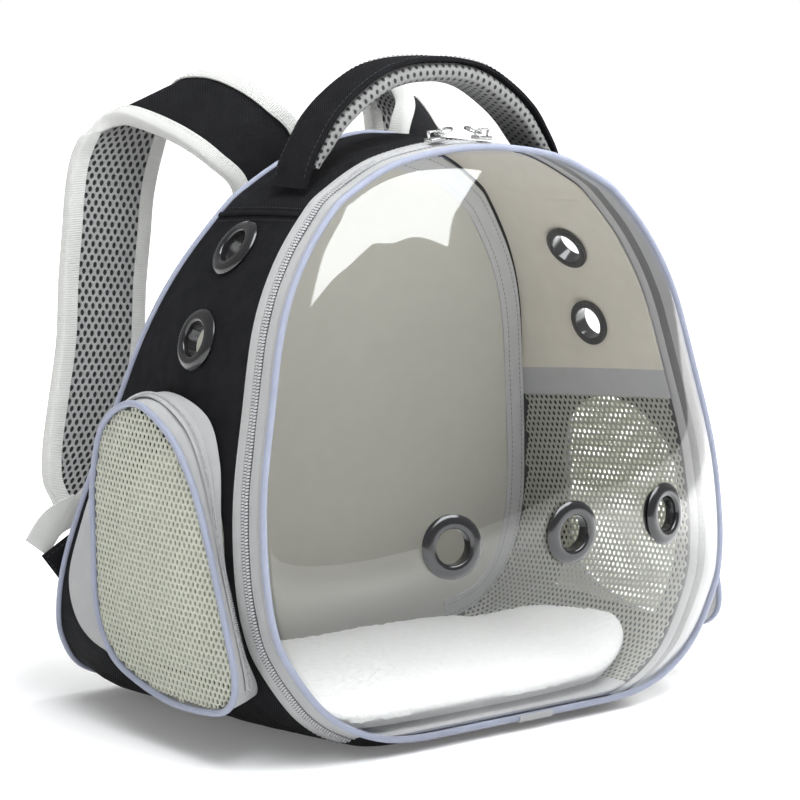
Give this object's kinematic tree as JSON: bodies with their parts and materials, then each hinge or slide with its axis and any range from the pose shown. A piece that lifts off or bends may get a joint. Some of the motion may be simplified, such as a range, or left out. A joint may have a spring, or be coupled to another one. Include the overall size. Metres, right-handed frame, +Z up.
{
  "type": "bubble pet carrier backpack",
  "caption": "Soft backpack for carrying a small pet, with a clear domed front door with ring vents, mesh side pockets, a top handle and padded shoulder straps.",
  "frame": {"origin": "centre of the base's flat underside, on the surface it stands on", "axes": "+Z up, -Y out of the clear domed door, +Y towards the wearer's back and the shoulder straps"},
  "size_m": [0.4088, 0.3206, 0.403],
  "materials": {
    "black_fabric": "smooth woven polyester",
    "grey_fabric": "light grey woven tape",
    "beige_fabric": "plain lining",
    "greige_fabric": "plain lining",
    "white_plush": "short plush",
    "cream_mesh": "knitted mesh with round holes",
    "grey_mesh": "spacer mesh",
    "off_white_tape": "ribbed binding tape and webbing",
    "lavender_piping": "covered piping cord",
    "grey_zip": "nylon coil",
    "clear_film": "clear moulded plastic",
    "black_plastic": "moulded",
    "bright_metal": "plated zinc"
  },
  "bodies": {
    "bag": {"back_panel": "black_fabric", "back_piping": "lavender_piping", "base_panel": "black_fabric", "bubble_vent_centre": "black_plastic", "bubble_vent_left": "black_plastic", "bubble_vent_right": "black_plastic", "bubble_window": "clear_film", "door_hinge": "black_fabric", "door_piping": "lavender_piping", "door_strip": "grey_fabric", "floor_pad": "white_plush", "handle_cover": "black_fabric", "handle_lining": "grey_mesh", "lining_back": "greige_fabric", "lining_binding": "grey_fabric", "lining_floor": "grey_fabric", "lining_left": "beige_fabric", "lining_right": "beige_fabric", "lining_top": "beige_fabric", "mesh_band_left": "grey_fabric", "mesh_band_right": "grey_fabric", "mesh_panel_left": "grey_mesh", "mesh_panel_right": "grey_mesh", "piping_sleeve": "grey_fabric", "pocket_gusset_left": "grey_fabric", "pocket_gusset_right": "grey_fabric", "pocket_mesh_left": "cream_mesh", "pocket_mesh_right": "cream_mesh", "pocket_piping_left": "lavender_piping", "pocket_piping_right": "lavender_piping", "pocket_zip_left": "grey_zip", "pocket_zip_right": "grey_zip", "side_gusset_left": "black_fabric", "side_gusset_right": "black_fabric", "side_vent_left_lower": "black_plastic", "side_vent_left_upper": "black_plastic", "side_vent_right_lower": "black_plastic", "side_vent_right_upper": "black_plastic", "strap_binding_left": "off_white_tape", "strap_binding_right": "off_white_tape", "strap_mesh_left": "grey_mesh", "strap_mesh_right": "grey_mesh", "strap_pad_left": "black_fabric", "strap_pad_right": "black_fabric", "strap_tab_left": "black_fabric", "strap_tab_right": "black_fabric", "strap_webbing_left": "off_white_tape", "strap_webbing_right": "off_white_tape", "top_gusset": "black_fabric", "webbing_fold_left": "off_white_tape", "webbing_fold_right": "off_white_tape", "zip_coil": "grey_zip", "zip_slider_left": "bright_metal", "zip_slider_right": "bright_metal", "zip_tape": "grey_fabric"},
    "pull_left": {"zip_pull_left": "bright_metal"},
    "pull_right": {"zip_pull_right": "bright_metal"}
  },
  "joints": [
    {"name": "pull_left_flip", "type": "hinge", "parent": "bag", "child": "pull_left", "pos_m": [-0.01647, -0.06334, 0.35699], "axis": [0, -1, 0], "range_deg": [0, 140]},
    {"name": "pull_right_flip", "type": "hinge", "parent": "bag", "child": "pull_right", "pos_m": [0.01647, -0.06334, 0.35697], "axis": [0, 1, 0], "range_deg": [0, 140]}
  ]
}
